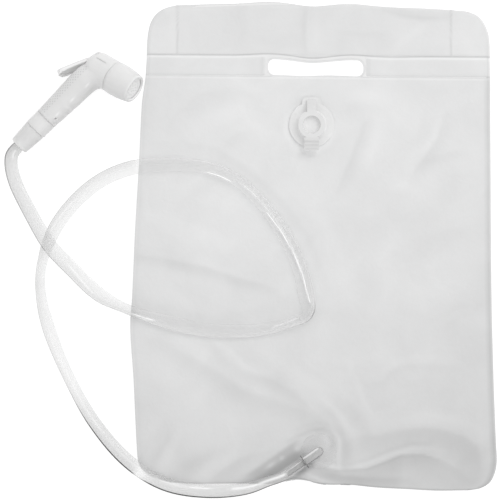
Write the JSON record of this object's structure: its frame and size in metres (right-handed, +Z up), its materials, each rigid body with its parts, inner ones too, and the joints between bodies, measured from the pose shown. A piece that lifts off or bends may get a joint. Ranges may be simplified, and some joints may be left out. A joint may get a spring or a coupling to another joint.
{
  "type": "camp shower bag",
  "caption": "Flat clear film water bag with a filler plug, a bottom outlet and a long hose to a lever-operated spray handset.",
  "frame": {"origin": "centre of the bag's back panel, on the face that it lies on", "axes": "+Z up from the surface the bag lies on, +Y up the bag to its header, +X to the bag's right as its filler valve faces the viewer"},
  "size_m": [0.4233, 0.4199, 0.0436],
  "materials": {
    "film": "clear soft film, slightly matt where it is thin",
    "clear_fitting": "clear soft plastic moulding",
    "clear_hose": "clear glossy tube",
    "milky_plastic": "milky translucent white, satin",
    "white_plastic": "plain white, satin",
    "seal_rubber": "black moulded rubber",
    "spring_steel": "bright drawn wire"
  },
  "bodies": {
    "shower_bag": {"bag_back_panel": "film", "bag_front_panel": "film", "header_liner": "film", "handle_strip": "clear_fitting", "filler_valve": "clear_fitting", "outlet_fitting": "clear_fitting", "hose": "clear_hose", "hose_nut": "milky_plastic", "inlet_connector": "milky_plastic", "inlet_washer": "seal_rubber", "handle_body": "milky_plastic", "nozzle_sleeve": "milky_plastic", "spray_plate": "white_plastic", "spray_plate_gasket": "seal_rubber", "spring_retainer": "white_plastic", "return_spring": "spring_steel", "stem_gland": "white_plastic", "stem_seal_ring": "seal_rubber", "lever_pin": "white_plastic"},
    "plug": {"filler_plug": "clear_fitting"},
    "lever": {"trigger_lever": "milky_plastic"},
    "stem": {"valve_stem": "white_plastic", "valve_washer": "seal_rubber"}
  },
  "joints": [
    {"name": "plug_hinge", "type": "hinge", "parent": "shower_bag", "child": "plug", "pos_m": [-0.0047, 0.1259, 0.00572], "axis": [-1, 0, 0], "range_deg": [0, 135]},
    {"name": "lever_hinge", "type": "hinge", "parent": "shower_bag", "child": "lever", "pos_m": [-0.18633, 0.16349, 0.01447], "axis": [-0.3277, 0.2258, 0.9174], "range_deg": [0, 11], "stiffness_Nm_per_rad": 0.6, "springref_deg": -8.59},
    {"name": "stem_slide", "type": "slide", "parent": "shower_bag", "child": "stem", "axis": [0.7897, -0.4676, 0.3971], "range_m": [0, 0.0019], "deforming": ["return_spring"]}
  ],
  "couplings": [
    {"joint": "stem_slide", "follows": "lever_hinge", "m_per_rad": 0.0095}
  ]
}
